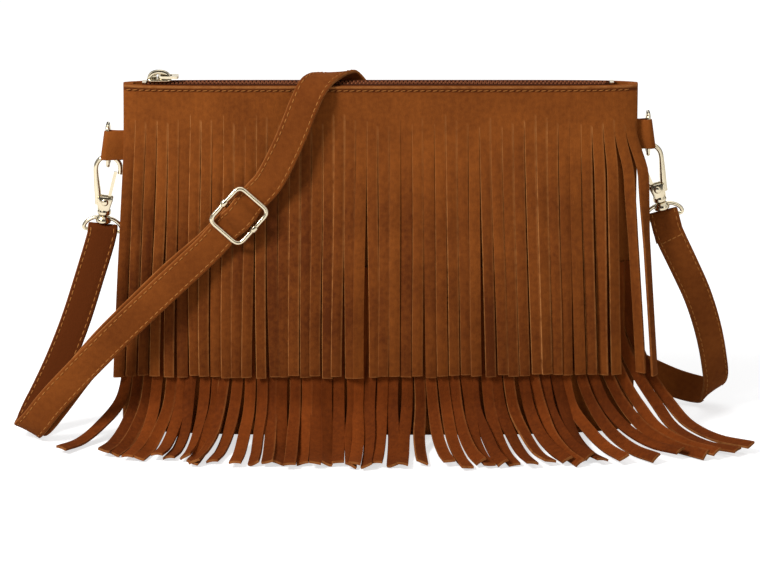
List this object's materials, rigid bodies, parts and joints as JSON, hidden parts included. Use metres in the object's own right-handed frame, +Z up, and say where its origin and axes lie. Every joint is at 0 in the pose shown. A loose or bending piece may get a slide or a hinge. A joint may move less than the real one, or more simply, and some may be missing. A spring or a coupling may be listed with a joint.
{
  "type": "fringed suede shoulder bag",
  "caption": "Small zipped suede shoulder pouch with tiered cut fringe on its front, side tabs with D-rings, swivel snap hooks and a buckle-adjusted strap.",
  "frame": {"origin": "middle of the pouch's flat base, on the surface it stands on", "axes": "+X to the viewer's right along the mouth, +Z up, the fringed front faces -Y"},
  "size_m": [0.3694, 0.1255, 0.1869],
  "materials": {
    "suede": "napped suede",
    "dark_suede": "napped suede",
    "lining_cloth": "plain woven",
    "zip_tape": "woven tape",
    "zip_teeth": "moulded coil",
    "pale_gold": "polished pale gold plate"
  },
  "bodies": {
    "bag": {"pouch_body": "suede", "lining": "lining_cloth", "upper_fringe": "suede", "lower_fringe": "dark_suede", "zip_tape_front": "zip_tape", "zip_tape_back": "zip_tape", "zip_teeth_front": "zip_teeth", "zip_teeth_back": "zip_teeth", "zip_stop_left": "pale_gold", "zip_stop_right": "pale_gold", "left_tab": "suede", "right_tab": "suede", "left_swivel_eye": "pale_gold", "right_swivel_eye": "pale_gold", "buckle_bar": "pale_gold", "strap": "dark_suede"},
    "zip_slider": {"zip_slider": "pale_gold"},
    "zip_pull": {"zip_pull": "pale_gold"},
    "buckle_frame": {"buckle_frame": "pale_gold"},
    "left_ring": {"left_d_ring": "pale_gold"},
    "left_hook": {"left_hook": "pale_gold", "left_gate_rivet": "pale_gold", "left_gate_spring": "pale_gold"},
    "left_gate": {"left_gate": "pale_gold"},
    "right_ring": {"right_d_ring": "pale_gold"},
    "right_hook": {"right_hook": "pale_gold", "right_gate_rivet": "pale_gold", "right_gate_spring": "pale_gold"},
    "right_gate": {"right_gate": "pale_gold"}
  },
  "joints": [
    {"name": "zip_slide", "type": "slide", "parent": "bag", "child": "zip_slider", "axis": [1, 0, 0], "range_m": [0, 0.2196], "deforming": ["strap"]},
    {"name": "pull_swing", "type": "hinge", "parent": "zip_slider", "child": "zip_pull", "pos_m": [-0.1098, 0, 0.1834], "axis": [0, -1, 0], "range_deg": [0, 180]},
    {"name": "buckle_slide", "type": "slide", "parent": "bag", "child": "buckle_frame", "axis": [-0.6685, -0.0898, -0.7383], "range_m": [-0.003, 0.003]},
    {"name": "left_ring_swing", "type": "hinge", "parent": "bag", "child": "left_ring", "pos_m": [-0.1362, 0, 0.1471], "axis": [0, 0, 1], "range_deg": [-15, 15]},
    {"name": "left_hook_swivel", "type": "hinge", "parent": "bag", "child": "left_hook", "pos_m": [-0.139, 0.0066, 0.11025], "axis": [0.1045, 0, 0.9945], "range_deg": [-30, 30]},
    {"name": "left_gate_open", "type": "hinge", "parent": "left_hook", "child": "left_gate", "pos_m": [-0.13827, 0.0066, 0.11721], "axis": [0, -1, 0], "range_deg": [0, 22], "stiffness_Nm_per_rad": 0.03, "springref_deg": -20.05},
    {"name": "right_ring_swing", "type": "hinge", "parent": "bag", "child": "right_ring", "pos_m": [0.1362, 0, 0.1531], "axis": [0, 0, 1], "range_deg": [-15, 15]},
    {"name": "right_hook_swivel", "type": "hinge", "parent": "bag", "child": "right_hook", "pos_m": [0.14314, 0.0066, 0.11701], "axis": [-0.2588, 0, 0.9659], "range_deg": [-30, 30]},
    {"name": "right_gate_open", "type": "hinge", "parent": "right_hook", "child": "right_gate", "pos_m": [0.14132, 0.0066, 0.12377], "axis": [0, 1, 0], "range_deg": [0, 22], "stiffness_Nm_per_rad": 0.03, "springref_deg": -20.05}
  ]
}
